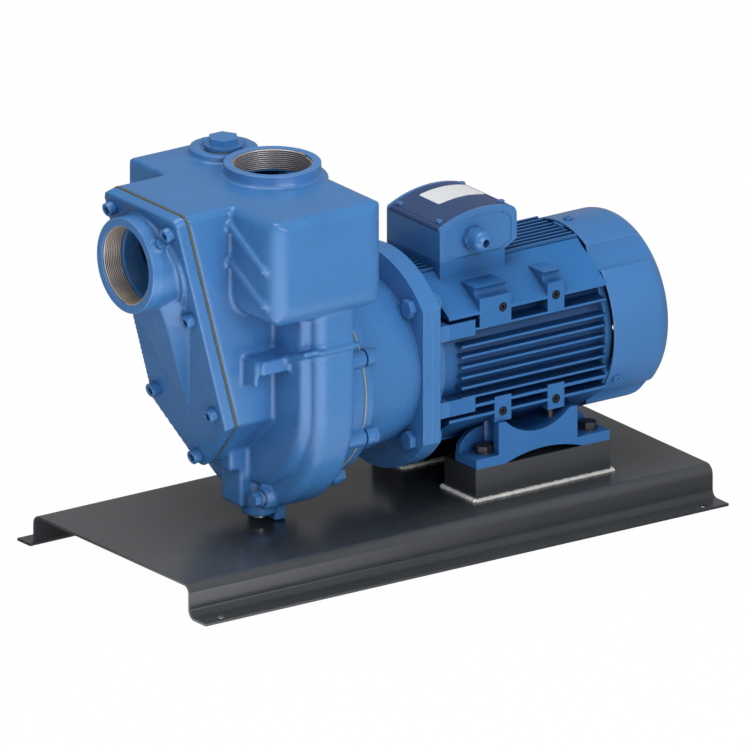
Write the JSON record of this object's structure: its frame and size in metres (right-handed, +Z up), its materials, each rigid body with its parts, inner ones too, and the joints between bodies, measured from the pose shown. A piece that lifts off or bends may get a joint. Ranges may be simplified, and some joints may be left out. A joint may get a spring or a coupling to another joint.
{
  "type": "self-priming pump",
  "caption": "Close-coupled self-priming centrifugal pump with a slanted suction cover, top discharge port, finned electric motor and folded base plate.",
  "frame": {"origin": "centre of the base plate on the floor that it stands on", "axes": "+X along the shaft from the suction port to the motor's fan, +Z up, -Y the side with the cable gland"},
  "size_m": [0.7, 0.355, 0.45],
  "materials": {
    "cast_blue": "gloss paint over cast metal",
    "lid_navy": "satin",
    "base_charcoal": "gloss",
    "weld": "rough",
    "steel": "machined",
    "dark_steel": "blackened",
    "brass": "dull",
    "rubber": "matt",
    "fibre": "fibre sheet",
    "paper": "fibre sheet",
    "ceramic": "lapped",
    "copper": "varnished wire",
    "laminate": "stacked sheet",
    "plastic": "moulded",
    "board": "moulded",
    "iron": "machined"
  },
  "bodies": {
    "pump_body": {"base_plate": "base_charcoal", "riser_near": "base_charcoal", "riser_far": "base_charcoal", "weld_beads": "weld", "pump_casing": "cast_blue", "suction_cover": "cast_blue", "cover_gasket": "fibre", "cover_screws": "cast_blue", "gauge_plug": "cast_blue", "valve_pin": "steel", "sump_plug": "steel", "wear_plate": "iron", "wear_screws": "steel", "seal_seat": "ceramic", "lantern": "cast_blue", "lantern_gasket": "paper", "lantern_bolts": "cast_blue", "flange_bolts": "cast_blue", "flange_nuts": "cast_blue", "motor_flange": "cast_blue", "motor_frame": "cast_blue", "stator_core": "laminate", "stator_winding": "copper", "bearing_outers": "steel", "bearing_balls": "steel", "wave_spring": "steel", "rear_shield": "cast_blue", "shield_screws": "dark_steel", "fan_cover": "cast_blue", "fan_cover_screws": "cast_blue", "terminal_box": "cast_blue", "terminal_lid": "lid_navy", "lid_screws": "cast_blue", "terminal_board": "board", "terminal_studs": "brass", "gland_body": "cast_blue", "gland_nut": "cast_blue", "foot_near": "cast_blue", "foot_far": "cast_blue", "foot_screws": "dark_steel", "foot_bolts": "dark_steel", "pad_screws": "dark_steel"},
    "rotor": {"motor_shaft": "steel", "rotor_core": "laminate", "fan": "plastic", "stub_shaft": "steel", "stub_screws": "dark_steel", "shaft_keys": "steel", "impeller": "iron", "impeller_nut": "steel", "seal_ring": "dark_steel", "seal_spring": "steel", "bearing_inners": "steel"},
    "flap": {"valve_flap": "iron", "valve_rubber": "rubber", "valve_nut": "steel"},
    "fill_seal": {"fill_washer": "brass"},
    "fill_screw": {"fill_plug": "cast_blue"},
    "drain_seal": {"drain_washer": "brass"},
    "drain_screw": {"drain_plug": "cast_blue"}
  },
  "joints": [
    {"name": "shaft_spin", "type": "hinge", "parent": "pump_body", "child": "rotor", "pos_m": [0, 0, 0.194], "axis": [1, 0, 0], "continuous": true},
    {"name": "flap_swing", "type": "hinge", "parent": "pump_body", "child": "flap", "pos_m": [-0.28046, 0, 0.41273], "axis": [0, -1, 0], "range_deg": [0, 35]},
    {"name": "fill_plug_lift", "type": "slide", "parent": "pump_body", "child": "fill_seal", "axis": [0, 0, 1], "range_m": [0, 0.01385]},
    {"name": "fill_plug_turn", "type": "hinge", "parent": "fill_seal", "child": "fill_screw", "pos_m": [-0.139, 0.086, 0.436], "axis": [0, 0, 1], "range_deg": [0, 2160]},
    {"name": "drain_plug_draw", "type": "slide", "parent": "pump_body", "child": "drain_seal", "axis": [-1, 0, 0], "range_m": [0, 0.01203]},
    {"name": "drain_plug_turn", "type": "hinge", "parent": "drain_seal", "child": "drain_screw", "pos_m": [-0.181, -0.044, 0.077], "axis": [-1, 0, 0], "range_deg": [0, 3240]}
  ],
  "couplings": [
    {"joint": "fill_plug_turn", "follows": "fill_plug_lift", "rad_per_m": 2721.2},
    {"joint": "drain_plug_turn", "follows": "drain_plug_draw", "rad_per_m": 4699.4}
  ]
}
